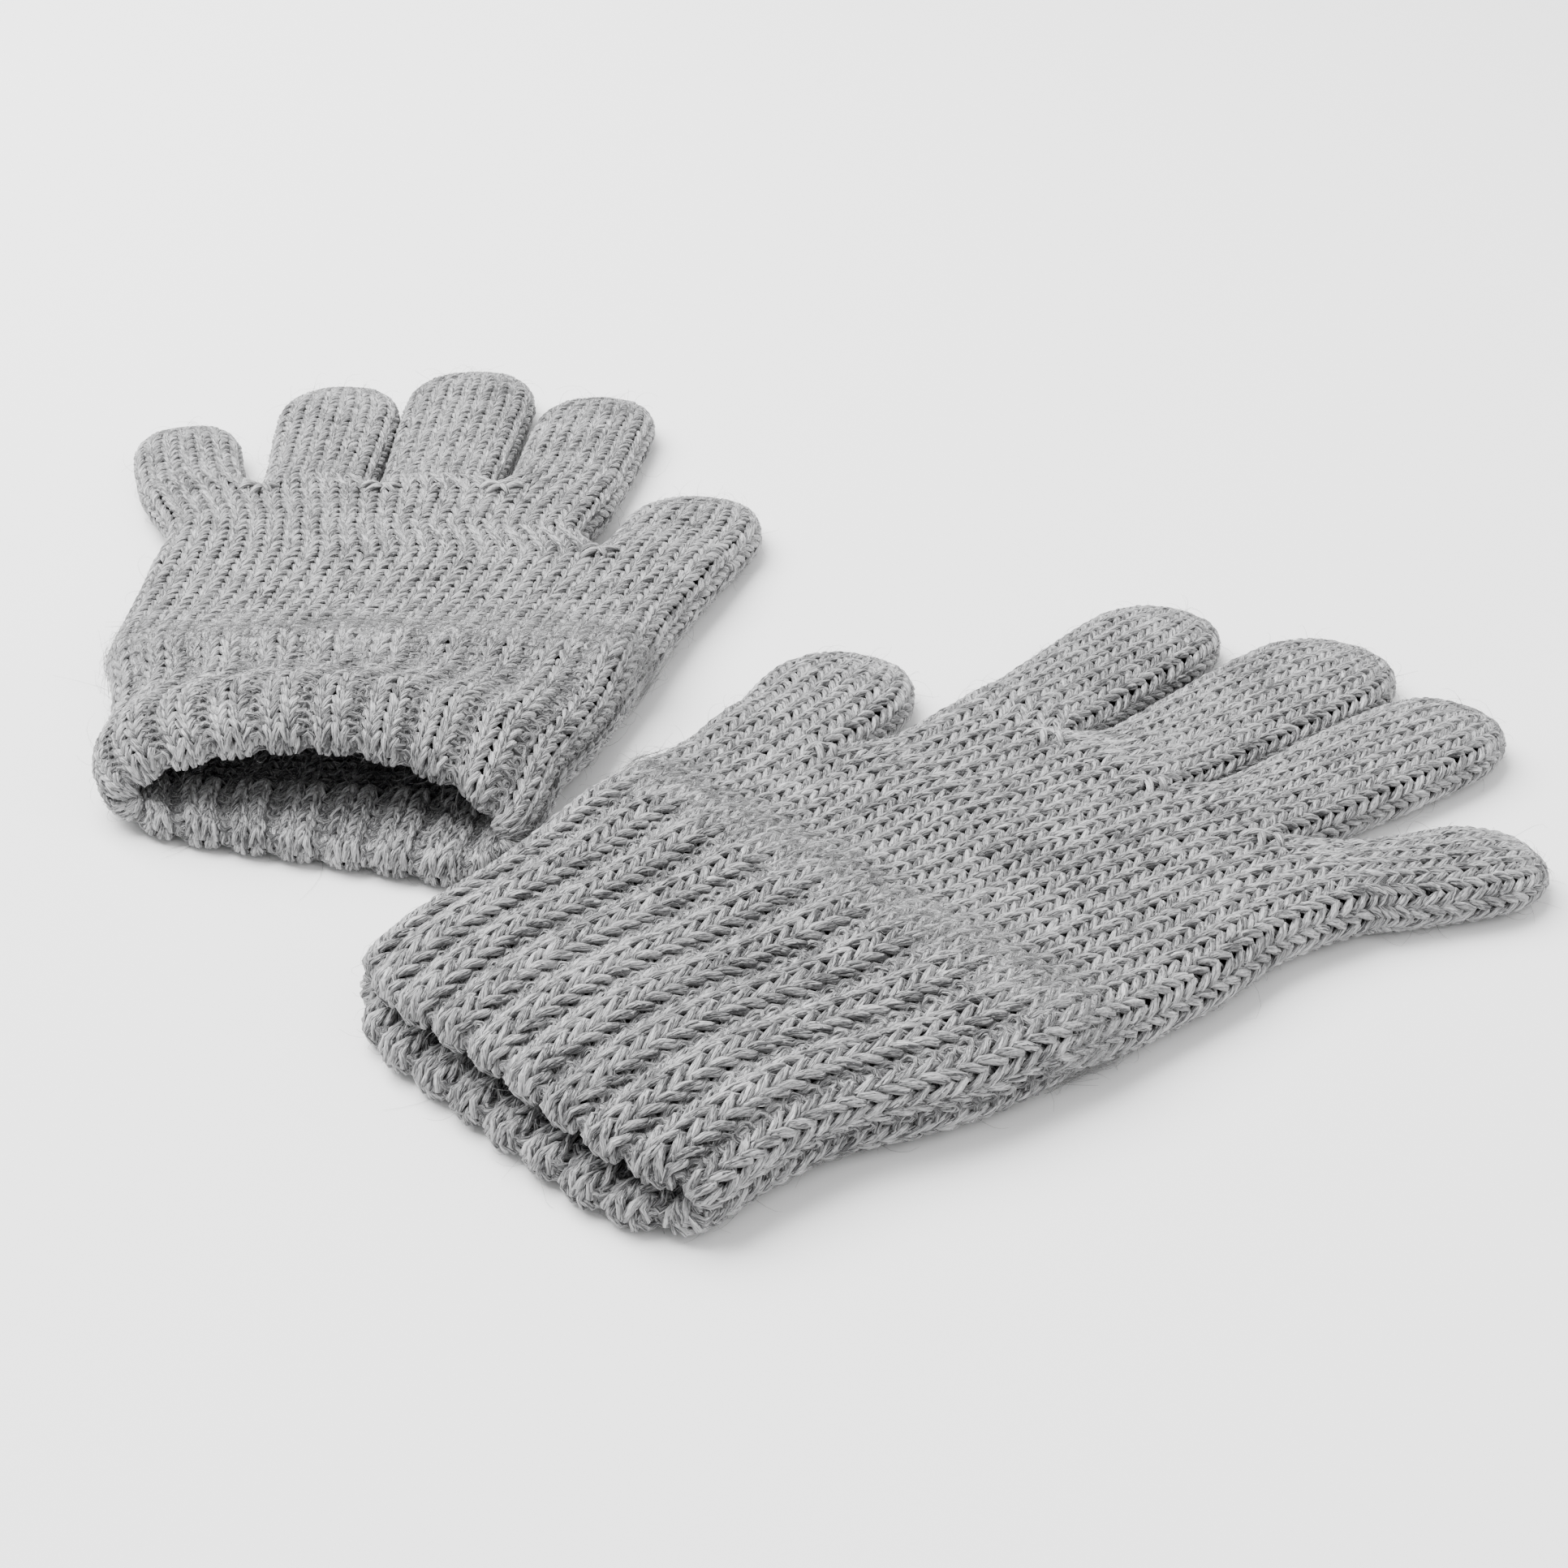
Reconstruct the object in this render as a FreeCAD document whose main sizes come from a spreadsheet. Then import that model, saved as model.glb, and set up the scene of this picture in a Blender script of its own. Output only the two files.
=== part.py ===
import FreeCAD, Part
import Sketcher
import os

# A pair of machine-knitted gloves lying flat on a table, fingers curling up over the top face.
# Each glove is drawn in its own frame: +Y from the cuff to the fingertips, thumb on the +X side
# for the left glove and on the -X side for the right glove, underside on Z = 0.

doc = FreeCAD.newDocument("KnittedGloves")
sheet = doc.addObject("Spreadsheet::Sheet", "Sizes")

COMMON = [
    ("finger_height", 8.4), ("plain_wall", 2.6), ("rib_wall", 3.0), ("round_part", 0.42),
    ("edge_depth", 4.0), ("tip_depth", 5.5), ("cut_gap", 0.35),
    ("root_part", 0.42),     # share of a finger's length below its middle crease
    ("root_tail", 12.0),     # how far a finger's outline runs back before it is cut off
    ("web_width", 2.6), ("web_depth", 4.5), ("web_clear", 0.12), ("sheet_depth", 200.0),
]
# Where each glove lies on the table and how far it is turned, then its own outline.
# Outline rows: distance along the glove, little-finger edge, thumb edge, height of the top face.
GLOVES = {
    "left": {
        "side": 1, "place": (-68.35, -49.4, 0.0),
        "cuff": [(-1.5, -26.5, 38.5, 21.0), (14.0, -28.5, 42.5, 22.5), (34.0, -32.5, 49.5, 17.5),
                 (58.0, -37.5, 55.5, 13.0)],
        "palm": [(58.0, -37.5, 55.5, 13.0), (70.0, -38.0, 59.0, 11.5), (88.0, -38.2, 65.2, 10.4)],
        "hand": [(88.0, -38.2, 37.0, 10.4), (103.0, -38.5, 39.0, 10.4), (117.0, -45.6, 43.8, 9.6)],
        # finger: root x, root y, turn from the glove's own direction, length, root width, tip width
        "fingers": {
            "little": (-35.2, 117.0, 15.3, 42.0, 19.4, 20.4),
            "ring": (-14.0, 117.0, 2.0, 62.0, 20.2, 24.0),
            "middle": (8.4, 117.0, -1.8, 70.5, 22.6, 26.2),
            "index": (32.0, 117.0, -7.5, 56.0, 21.6, 23.0),
            "thumb": (52.0, 88.0, -15.5, 36.5, 24.6, 26.4)},
        "webs": {"ring_little": -24.5, "middle_ring": -3.4, "index_middle": 20.5},
        "thumb_web": 37.2,
    },
    "right": {
        "side": -1, "place": (-26.35, -109.4, -46.0),
        "cuff": [(-4.5, -35.5, 34.5, 15.0), (14.0, -35.5, 36.0, 15.5), (34.0, -40.5, 41.0, 15.0),
                 (57.0, -46.0, 46.5, 13.0)],
        "palm": [(57.0, -46.0, 46.5, 13.0), (68.0, -47.5, 49.0, 11.5), (82.0, -48.0, 52.5, 10.4)],
        "hand": [(82.0, -48.0, 27.5, 10.4), (97.0, -48.6, 28.4, 10.4), (111.0, -52.4, 29.8, 9.6)],
        "fingers": {
            "little": (-42.6, 111.0, 27.3, 36.2, 17.0, 19.0),
            "ring": (-22.6, 111.0, 6.5, 63.0, 18.4, 21.8),
            "middle": (-2.4, 111.0, 2.0, 67.5, 19.4, 25.4),
            "index": (18.8, 111.0, -5.5, 56.0, 20.4, 23.4),
            "thumb": (39.8, 82.0, -19.0, 37.0, 22.0, 26.0)},
        "webs": {"ring_little": -32.6, "middle_ring": -12.9, "index_middle": 8.0},
        "thumb_web": 27.8,
    },
}
FINGERS = ("little", "ring", "middle", "index", "thumb")

cells = list(COMMON)
for glove, data in GLOVES.items():
    for key, value in zip(("across", "along", "turn"), data["place"]):
        cells.append(("%s_%s" % (glove, key), value))
    for part in ("cuff", "palm", "hand"):
        for n, station in enumerate(data[part]):
            for key, value in zip(("along", "outer", "thumbside", "height"), station):
                cells.append(("%s_%s_%s_%s" % (glove, part, "abcd"[n], key), value))
    for finger in FINGERS:
        keys = ("across", "along", "turn", "length", "rootwidth", "tipwidth")
        for key, value in zip(keys, data["fingers"][finger]):
            cells.append(("%s_%s_%s" % (glove, finger, key), value))
    for web, value in data["webs"].items():
        cells.append(("%s_web_%s" % (glove, web), value))
    cells.append(("%s_web_thumb" % glove, data["thumb_web"]))
for row, (alias, value) in enumerate(cells, 1):
    sheet.set("A%d" % row, alias)
    sheet.set("B%d" % row, "%.3f" % value)
    sheet.setAlias("B%d" % row, alias)
doc.recompute()


def role(body, name):
    """The origin plane of a body with this role."""
    return next(f for f in body.Origin.OriginFeatures if f.Role == name)


def section(body, label, side, prefix, wall, shift):
    """A rounded oblong across the glove at one station, standing on the table."""
    sketch = body.newObject("Sketcher::SketchObject", label)
    sketch.AttachmentSupport = [(role(body, "XZ_Plane"), "")]
    sketch.MapMode = "FlatFace"
    sketch.setExpression("AttachmentOffset.Base.z", "-(Sizes.%s_along%s)" % (prefix, shift))
    low, high = ("outer", "thumbside") if side > 0 else ("thumbside", "outer")
    x0 = side * sheet.get("%s_%s" % (prefix, low)) + wall_value(wall)
    x1 = side * sheet.get("%s_%s" % (prefix, high)) - wall_value(wall)
    z0, z1 = wall_value(wall), sheet.get("%s_height" % prefix) - wall_value(wall)
    r = sheet.get("round_part") * (z1 - z0)
    V, up = FreeCAD.Vector, FreeCAD.Vector(0, 0, 1)
    add = sketch.addGeometry
    lines = [((x0 + r, z0), (x1 - r, z0)), ((x1, z0 + r), (x1, z1 - r)),
             ((x1 - r, z1), (x0 + r, z1)), ((x0, z1 - r), (x0, z0 + r))]
    for (ax, ay), (bx, by) in lines:
        add(Part.LineSegment(V(ax, ay, 0), V(bx, by, 0)), False)
    half = 3.141592653589793 / 2
    for n, (cx, cy) in enumerate([(x1 - r, z0 + r), (x1 - r, z1 - r), (x0 + r, z1 - r), (x0 + r, z0 + r)]):
        add(Part.ArcOfCircle(Part.Circle(V(cx, cy, 0), up, r), (n - 1) * half, n * half), False)
    # corners: line n ends on arc n+4, which starts line n+1; every join is tangent
    constrain(sketch, [("Tangent", n, 2, n + 4, 1) for n in range(4)]
              + [("Tangent", n + 4, 2, (n + 1) % 4, 1) for n in range(4)]
              + [("Horizontal", 0), ("Vertical", 1), ("Horizontal", 2), ("Vertical", 3)]
              + [("Equal", 4, n) for n in (5, 6, 7)])
    edge = "Sizes.%s" % wall if wall else "0"
    size(sketch, "Radius", (4,), r,
         "Sizes.round_part * (Sizes.%s_height - 2 * %s)" % (prefix, edge))
    size(sketch, "DistanceY", (-1, 1, 0, 1), z0, edge)
    size(sketch, "DistanceY", (-1, 1, 2, 1), z1, "Sizes.%s_height - %s" % (prefix, edge))
    size(sketch, "DistanceX", (3, 1, -1, 1), -x0,
         "%d * Sizes.%s_%s - %s" % (-side, prefix, low, edge))
    size(sketch, "DistanceX", (-1, 1, 1, 1), x1,
         "%d * Sizes.%s_%s - %s" % (side, prefix, high, edge))
    return sketch


def wall_value(wall):
    return sheet.get(wall) if wall else 0.0


def constrain(sketch, rows):
    for one in rows:
        sketch.addConstraint(Sketcher.Constraint(*one))


def size(sketch, kind, refs, value, formula):
    """A driving dimension tied to the sheet; one of zero length is a plain coincidence."""
    if formula == "0":
        if kind == "DistanceY":
            sketch.addConstraint(Sketcher.Constraint("PointOnObject", refs[2], refs[3], -1))
        return
    n = sketch.addConstraint(Sketcher.Constraint(kind, *refs, value))
    sketch.setExpression("Constraints[%d]" % n, formula)


def tube(glove, part, stations, wall, first_shift="", last_shift=""):
    """A flat tube lofted through the stations, with the hollow for the hand through it."""
    side = GLOVES[glove]["side"]
    body = doc.addObject("PartDesign::Body", "%s_%s_tube" % (glove, part))
    last = len(stations) - 1
    for kind, inset, reach in (("AdditiveLoft", None, 0), ("SubtractiveLoft", wall, 1)):
        sketches = []
        for n, prefix in enumerate(stations):
            shift = first_shift if n == 0 else last_shift if n == last else ""
            if reach and n in (0, last):
                shift += " - 0.5" if n == 0 else " + 0.5"
            label = "%s_%s_%s%d" % (glove, part, "hollow" if reach else "outside", n)
            sketches.append(section(body, label, side, prefix, inset, shift))
        loft = body.newObject("PartDesign::" + kind, "%s_%s_%s" % (glove, part, kind))
        loft.Profile = sketches[0]
        loft.Sections = sketches[1:]
        loft.Ruled = True
        body.Tip = loft
    return body


def finger_form(glove, finger, inset):
    """A flat finger with a round end; inset is the wall left outside it."""
    side = GLOVES[glove]["side"]
    kind = "hollow" if inset else "form"
    key = "Sizes.%s_%s" % (glove, finger)
    edge = "Sizes.plain_wall" if inset else "0"
    body = doc.addObject("PartDesign::Body", "%s_%s_%s" % (glove, finger, kind))
    root = sheet.get("%s_%s_rootwidth" % (glove, finger)) / 2 - wall_value(inset)
    tip = sheet.get("%s_%s_tipwidth" % (glove, finger)) / 2 - wall_value(inset)
    reach = sheet.get("%s_%s_length" % (glove, finger)) - wall_value(inset)
    tail = sheet.get("root_tail")
    sketch = body.newObject("Sketcher::SketchObject", "%s_%s_%s_outline" % (glove, finger, kind))
    sketch.AttachmentSupport = [(role(body, "XY_Plane"), "")]
    sketch.MapMode = "FlatFace"
    V = FreeCAD.Vector
    sketch.addGeometry(Part.LineSegment(V(-root, -tail, 0), V(root, -tail, 0)), False)
    sketch.addGeometry(Part.LineSegment(V(root, -tail, 0), V(tip, reach - tip, 0)), False)
    sketch.addGeometry(Part.Arc(V(tip, reach - tip, 0), V(0, reach, 0), V(-tip, reach - tip, 0)), False)
    sketch.addGeometry(Part.LineSegment(V(-tip, reach - tip, 0), V(-root, -tail, 0)), False)
    constrain(sketch, [("Coincident", 0, 2, 1, 1), ("Coincident", 1, 2, 2, 1),
                       ("Coincident", 2, 2, 3, 1), ("Coincident", 3, 2, 0, 1),
                       ("PointOnObject", 2, 3, -2), ("Symmetric", 0, 1, 0, 2, -2),
                       ("Horizontal", 2, 1, 2, 3), ("Horizontal", 2, 2, 2, 3)])
    size(sketch, "DistanceX", (0, 1, 0, 2), 2 * root, "%s_rootwidth - 2 * %s" % (key, edge))
    size(sketch, "Radius", (2,), tip, "%s_tipwidth / 2 - %s" % (key, edge))
    size(sketch, "DistanceY", (-1, 1, 2, 3), reach - tip, "%s_length - %s_tipwidth / 2" % (key, key))
    size(sketch, "DistanceY", (0, 1, -1, 1), tail, "Sizes.root_tail")
    pad = body.newObject("PartDesign::Pad", "%s_%s_%s_pad" % (glove, finger, kind))
    pad.Profile = sketch
    pad.setExpression("Length", "Sizes.finger_height - 2 * %s" % edge)
    doc.recompute()
    flat = [n for n, e in enumerate(pad.Shape.Edges, 1)
            if e.BoundBox.ZLength < 1e-6 and e.BoundBox.YLength > 1]
    fillet = body.newObject("PartDesign::Fillet", "%s_%s_%s_round" % (glove, finger, kind))
    fillet.Base = (pad, ["Edge%d" % n for n in flat])
    fillet.setExpression("Radius", "Sizes.round_part * (Sizes.finger_height - 2 * %s)" % edge)
    body.Tip = fillet
    body.setExpression("Placement.Base.x", "%d * %s_across" % (side, key))
    body.setExpression("Placement.Base.y", "%s_along" % key)
    if inset:
        body.setExpression("Placement.Base.z", edge)
    body.Placement.Rotation = FreeCAD.Rotation(V(0, 0, 1), 1)
    body.setExpression("Placement.Rotation.Angle", "%d * %s_turn" % (side, key))
    return body


def slab(label, start, depth):
    """A wide block that keeps one length of a finger, cut square to the glove."""
    box = doc.addObject("Part::Box", label)
    box.setExpression("Length", "2 * Sizes.sheet_depth")
    box.setExpression("Width", depth)
    box.setExpression("Height", "Sizes.sheet_depth")
    box.setExpression("Placement.Base.x", "-Sizes.sheet_depth")
    box.setExpression("Placement.Base.y", start)
    box.setExpression("Placement.Base.z", "-Sizes.sheet_depth / 2")
    return box


nodes = []


def node(feature, glove, name):
    """Lay a finished sub-part where its glove lies and list it for writing."""
    feature.Label = "%s_%s" % (glove, name)
    feature.setExpression("Placement.Base.x", "Sizes.%s_across" % glove)
    feature.setExpression("Placement.Base.y", "Sizes.%s_along" % glove)
    feature.Placement.Rotation = FreeCAD.Rotation(FreeCAD.Vector(0, 0, 1), 1)
    feature.setExpression("Placement.Rotation.Angle", "Sizes.%s_turn" % glove)
    nodes.append(feature)


def finger_nodes(glove, finger):
    """Root, end and closed tip of one finger, each a length of the same hollow form."""
    key = "Sizes.%s_%s" % (glove, finger)
    form = finger_form(glove, finger, None)
    hollow = finger_form(glove, finger, "plain_wall")
    shell = doc.addObject("Part::Cut", "%s_%s_shell" % (glove, finger))
    shell.Base, shell.Tool = form, hollow
    along = "%s_length * cos(%s_turn)" % (key, key)
    crease = "%s_along + Sizes.root_part * %s" % (key, along)
    closing = "%s_along + %s - Sizes.tip_depth" % (key, along)
    lengths = [
        ("root", "%s_along + Sizes.cut_gap / 2" % key, "Sizes.root_part * %s - Sizes.cut_gap" % along),
        ("end", "%s + Sizes.cut_gap / 2" % crease,
         "(%s) - (%s) - Sizes.cut_gap" % (closing, crease)),
        ("tip", closing, "2 * Sizes.tip_depth")]
    for name, start, depth in lengths:
        common = doc.addObject("Part::Common", "%s_%s_%s_part" % (glove, finger, name))
        common.Base = shell
        common.Tool = slab("%s_%s_%s_slab" % (glove, finger, name), start, depth)
        node(common, glove, "%s_%s" % (finger, name))


def web_node(glove, name, across, along, height):
    """The stitches that join the two faces in the fork between two fingers."""
    side = GLOVES[glove]["side"]
    box = doc.addObject("Part::Box", "%s_%s_box" % (glove, name))
    box.setExpression("Length", "Sizes.web_width")
    box.setExpression("Width", "Sizes.web_depth")
    box.setExpression("Height", "%s - 2 * Sizes.plain_wall - 2 * Sizes.web_clear" % height)
    box.setExpression("Placement.Base.x", "%d * %s - Sizes.web_width / 2" % (side, across))
    box.setExpression("Placement.Base.y", "%s - Sizes.web_depth" % along)
    box.setExpression("Placement.Base.z", "Sizes.plain_wall + Sizes.web_clear")
    stitches = doc.addObject("Part::Compound", "%s_%s_part" % (glove, name))
    stitches.Links = [box]
    node(stitches, glove, name)


for glove, data in GLOVES.items():
    key = "Sizes.%s" % glove
    prefix = {part: ["%s_%s_%s" % (glove, part, "abcd"[n]) for n in range(len(data[part]))]
              for part in ("cuff", "palm", "hand")}
    cuff = tube(glove, "cuff", prefix["cuff"], "rib_wall", "", " - Sizes.cut_gap")
    mouth = "%s_along" % ("Sizes." + prefix["cuff"][0])
    for name, start, depth in (
            ("cuff_edge", mouth, "Sizes.edge_depth"),
            ("cuff", "%s + Sizes.edge_depth" % mouth, "Sizes.sheet_depth")):
        common = doc.addObject("Part::Common", "%s_%s_part" % (glove, name))
        common.Base = cuff
        common.Tool = slab("%s_%s_slab" % (glove, name), start, depth)
        node(common, glove, name)
    for part in ("palm", "hand"):
        body = tube(glove, part, prefix[part], "plain_wall", "",
                    " - Sizes.cut_gap" if part == "hand" else "")
        node(body, glove, part)
    for finger in FINGERS:
        finger_nodes(glove, finger)
    for part, webs in (("hand", data["webs"]), ("palm", ["thumb"])):
        fork = "%s_%s_c" % (key, part)
        for web in webs:
            web_node(glove, "web_" + web, "%s_web_%s" % (key, web),
                     fork + "_along - Sizes.cut_gap", fork + "_height")

doc.recompute()
for item in doc.Objects:
    bad = [word for word in item.State if word in ("Invalid", "Error")]
    if bad:
        raise RuntimeError("%s did not rebuild: %s" % (item.Name, bad))
os.makedirs("parts", exist_ok=True)
for feature in nodes:
    shape = feature.Shape
    if shape.isNull() or not shape.isValid() or shape.Volume < 1:
        raise RuntimeError("%s has no sound solid" % feature.Label)
    shape.exportStep("parts/%s.step" % feature.Label)
print(len(nodes), "sub-parts written")
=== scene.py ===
import math

import bpy
import numpy as np
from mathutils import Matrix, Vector


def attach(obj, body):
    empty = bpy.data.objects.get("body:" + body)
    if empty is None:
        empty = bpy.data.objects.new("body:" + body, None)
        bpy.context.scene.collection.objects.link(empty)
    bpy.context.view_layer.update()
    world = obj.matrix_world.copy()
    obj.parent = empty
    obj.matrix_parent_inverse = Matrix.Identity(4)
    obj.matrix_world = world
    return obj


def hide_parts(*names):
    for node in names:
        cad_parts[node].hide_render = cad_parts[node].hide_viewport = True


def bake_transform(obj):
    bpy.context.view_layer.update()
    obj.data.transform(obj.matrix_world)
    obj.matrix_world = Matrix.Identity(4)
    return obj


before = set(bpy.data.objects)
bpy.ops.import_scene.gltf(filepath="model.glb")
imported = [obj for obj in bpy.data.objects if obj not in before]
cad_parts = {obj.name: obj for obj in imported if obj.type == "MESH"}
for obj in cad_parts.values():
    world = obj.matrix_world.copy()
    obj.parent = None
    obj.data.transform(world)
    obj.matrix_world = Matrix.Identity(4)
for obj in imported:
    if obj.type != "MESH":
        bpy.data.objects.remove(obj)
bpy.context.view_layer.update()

bl_info = {
    "name": "Knitted gloves",
    "version": (1, 0, 0),
    "blender": (4, 5, 0),
    "location": "View3D > Sidebar > Gloves",
    "description": "Builds a pair of knitted gloves loop by loop, with ribbed cuffs",
    "category": "Add Mesh",
}

MM = 0.001
TAU = 2.0 * math.pi

# Wales are the columns of stitches round a tube, courses are its rows. Lengths below are in mm.
CUFF_WALES = 60
HAND_WALES = 48
EDGE = 1.3           # from the fabric's middle to its outer face
LIP = 1.55           # half the distance between the two layers of a cuff's lip
LIP_ARC = 0.5 * math.pi * LIP
TURNED_IN = 17.0     # how far the lip's inner layer reaches into the cuff
LIP_RIB = 0.8        # the inner layer's rib, as a share of the outer one's
RIB_END = 10.0       # rib-gauge courses run on this far past the wrist
CUFF_END = 14.0      # the cuff's own piece ends this far short of the wrist

YARN_SIDES = 6       # sides of a yarn tube
TWIST = 0.45         # the yarn's twist, radians to a mm
LOOP_STEPS = 12      # stations in one stitch
LOOP_DEPTH = 0.56    # how far a leg stands out of the fabric's middle
PULL_IN = 0.045      # how far a leg is drawn to its wale's middle, in wales
HARD_FLOOR = 0.12    # yarn lower than this is pressed flat against the table
WORN_FUZZ = 24.0     # how many times as many fibres a worn band has

# Each glove's own frame has y from the cuff to the fingertips and x from the little finger to the
# thumb. worn is a worn band's middle and width, rib the rib's depth, lean how far stitch legs slope.
# A body or hand row: distance from the cuff's edge, little-finger edge, thumb edge, height, doming.
# A finger: root x, root y, turn in degrees, length, root width, tip width, sideways bow.
GLOVES = {
    "left": {
        "side": 1, "place": (-68.35, -49.4), "turn": 0.0, "palm_end": 88.0, "hand_end": 117.0,
        "wrist": 58.0, "worn": (50.0, 5.0), "rib": 0.42, "lean": 0.28,
        "body": [
            (0.0, -27.5, 38.5, 19.0, 0.50), (8.0, -30.5, 40.5, 21.0, 0.50),
            (16.0, -31.5, 42.0, 22.3, 0.45), (24.0, -31.5, 45.5, 20.0, 0.40),
            (32.0, -32.0, 48.2, 17.0, 0.35), (40.0, -33.5, 50.5, 15.0, 0.25),
            (48.0, -36.0, 52.8, 15.0, 0.15), (56.0, -37.2, 55.0, 13.4, 0.10),
            (64.0, -37.6, 57.0, 11.6, 0.05), (72.0, -37.8, 59.6, 10.8, 0.05),
            (88.0, -38.2, 65.2, 10.4, 0.05)],
        "hand": [
            (88.0, -38.2, 37.0, 10.4, 0.05), (103.0, -38.5, 39.0, 10.2, 0.05),
            (117.0, -45.2, 43.4, 9.6, 0.05)],
        # across the mouth, little-finger edge to thumb edge: how far the lip is set back
        "rim_top": [13.0, 11.5, 10.5, 9.5, 8.5, 6.5, 1.0],
        "rim_floor": [11.0, 6.5, 3.0, 0.0, -3.0, -6.0, -3.0],
        "fingers": {
            "little": (-35.2, 117.0, 15.3, 42.4, 20.6, 21.8, -0.5),
            "ring": (-14.3, 117.0, 2.4, 62.8, 21.2, 25.4, 0.3),
            "middle": (8.2, 117.0, -1.8, 71.6, 23.2, 27.2, 0.3),
            "index": (31.8, 117.0, -6.8, 57.2, 23.0, 25.2, 0.0),
            "thumb": (52.2, 88.0, -15.5, 37.4, 25.6, 27.6, 0.0)},
    },
    "right": {
        "side": -1, "place": (-26.35, -109.4), "turn": -46.0, "palm_end": 82.0, "hand_end": 111.0,
        "wrist": 57.0, "worn": (58.0, 5.0), "rib": 0.9, "lean": 0.33,
        "body": [
            (0.0, -34.5, 36.0, 13.0, 0.22), (8.0, -34.5, 37.5, 14.6, 0.18),
            (16.0, -35.0, 38.0, 15.4, 0.15), (24.0, -36.5, 39.0, 15.0, 0.12),
            (32.0, -40.0, 41.0, 14.6, 0.10), (40.0, -43.0, 43.5, 14.2, 0.10),
            (48.0, -44.8, 45.5, 14.2, 0.08), (57.0, -46.0, 46.5, 13.4, 0.06),
            (64.0, -47.0, 47.8, 11.8, 0.05), (72.0, -47.8, 49.6, 10.9, 0.05),
            (82.0, -48.6, 52.5, 10.4, 0.05)],
        "hand": [
            (82.0, -48.0, 27.5, 10.4, 0.05), (97.0, -48.6, 28.4, 10.2, 0.05),
            (111.0, -52.0, 29.6, 9.6, 0.05)],
        "rim_top": [3.0, -2.0, -3.0, -3.0, -3.0, -2.5, 2.0],
        "rim_floor": [2.0, -4.5, -5.5, -5.5, -5.5, -5.0, 1.0],
        "fingers": {
            "little": (-42.4, 111.0, 27.3, 36.8, 18.2, 19.8, 0.0),
            "ring": (-22.6, 111.0, 6.5, 64.2, 19.4, 22.8, 0.0),
            "middle": (-2.4, 111.0, 2.0, 68.6, 20.8, 26.2, 0.0),
            "index": (18.8, 111.0, -5.5, 58.2, 21.6, 24.4, 0.0),
            "thumb": (39.8, 82.0, -19.0, 38.2, 23.8, 27.2, 0.0)},
    },
}

# For each finger: wales round it, a wale on the parent tube, the wale of its own that continues
# it, and the first and last of its own that are taken up from the parent.
TAKE_UP = {
    "little": (14, 1, 1, 0, 7),
    "ring": (16, 6, 1, 1, 7),
    "middle": (18, 12, 1, 1, 7),
    "index": (16, 18, 2, 2, 8),
    "thumb": (16, 23, 1, 1, 8),
}
FINGERS = tuple(TAKE_UP)
MID_BEND = 0.42      # the middle crease's share of the finger's length
CAP_END = 0.47 * math.pi


# ---------------------------------------------------------------- numbers as curves

def ease(t):
    """Smooth step: 0 below 0, 1 above 1, and 3t squared less 2t cubed between."""
    t = np.clip(t, 0.0, 1.0)
    return t * t * (3.0 - 2.0 * t)


def through(at, knots, values):
    """Cubic Hermite curve through the knots, its slope at each one taken from its neighbours."""
    knots, values = np.asarray(knots, float), np.asarray(values, float)
    slope = np.gradient(values, knots)
    i = np.clip(np.searchsorted(knots, at) - 1, 0, len(knots) - 2)
    h = knots[i + 1] - knots[i]
    t = (at - knots[i]) / h
    beyond = np.where(t > 1.0, (t - 1.0) * h * slope[i + 1], np.where(t < 0.0, t * h * slope[i], 0.0))
    t = np.clip(t, 0.0, 1.0)
    a = (2 * t ** 3 - 3 * t ** 2 + 1) * values[i] + (t ** 3 - 2 * t ** 2 + t) * h * slope[i]
    b = (3 * t ** 2 - 2 * t ** 3) * values[i + 1] + (t ** 3 - t ** 2) * h * slope[i + 1]
    return a + b + beyond


def stadium(turn, left, right, high):
    """Flattened tube's section: two straight sides joined by half circles of radius high / 2.

    turn runs 0 to 1 by length from the middle of the left edge over the top to the right edge and
    back underneath. Gives x, z above the lowest point, and the outward normal's x and z."""
    r = 0.5 * high
    flat = right - left - high
    quarter = 0.5 * math.pi * r
    a = np.mod(turn, 1.0) * (2.0 * flat + 4.0 * quarter)
    top = np.clip(a - quarter, 0.0, flat)
    under = np.clip(a - 3.0 * quarter - flat, 0.0, flat)
    angle = (a - top - under) / r
    return (left + r + top - under - r * np.cos(angle), r + r * np.sin(angle),
            -np.cos(angle), np.sin(angle))


# ---------------------------------------------------------------- the gloves' surfaces

def tube_section(turn, y, rows):
    """Point and outward normal in the section at y, from a table of edges, height and doming.

    The section is a stadium between the two edges, its height falling off to both sides as the
    square of the distance from the middle line. Also gives the place across it, -1 to 1, and the
    share of the height."""
    rows = np.array(rows)
    left, right, high, dome = (through(y, rows[:, 0], rows[:, c]) for c in (1, 2, 3, 4))
    x, z, nx, nz = stadium(turn, left + EDGE, right - EDGE, high - 2.0 * EDGE)
    across = (2.0 * x - left - right) / (right - left)
    z = z * (1.0 - dome * across * across)
    return x, z + EDGE, nx, nz, across, z / (high - 2.0 * EDGE)


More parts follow.
